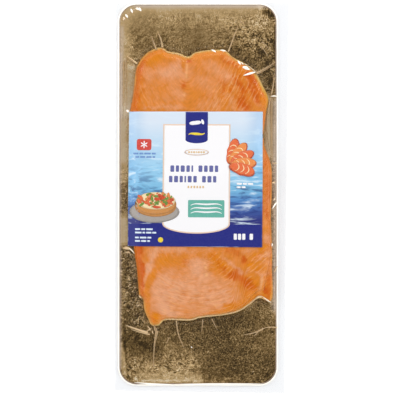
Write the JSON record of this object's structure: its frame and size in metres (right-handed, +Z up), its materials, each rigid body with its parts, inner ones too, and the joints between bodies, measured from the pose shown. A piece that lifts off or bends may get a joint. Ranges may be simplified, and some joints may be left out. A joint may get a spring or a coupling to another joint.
{
  "type": "vacuum pack of sliced smoked salmon",
  "caption": "Long flat clear vacuum pouch lying on its back: overlapping slices of smoked salmon on a gold-foil card, with a square label stuck across the front.",
  "frame": {"origin": "centre of the pack's bounding box in plan, on the surface that it lies on", "axes": "+Z up out of the front of the pack as it lies on its back, +Y along the pack towards the end that is its top, +X to the right of someone who reads the label"},
  "size_m": [0.1334, 0.2986, 0.0122],
  "materials": {
    "film": "clear shiny plastic film drawn tight over orange fish and a gold card; the base colour is the fish's",
    "label_paper": "smooth printed label with a slight sheen, in sea blue, navy and white",
    "gold_card": "card faced with crinkled gold foil, for the piece inside the pouch that the visual model shows",
    "salmon": "moist translucent orange fish with pale muscle lines, for the slices inside the pouch that the visual model shows"
  },
  "bodies": {
    "root": {"pouch": "film", "label": "label_paper"}
  },
  "joints": []
}
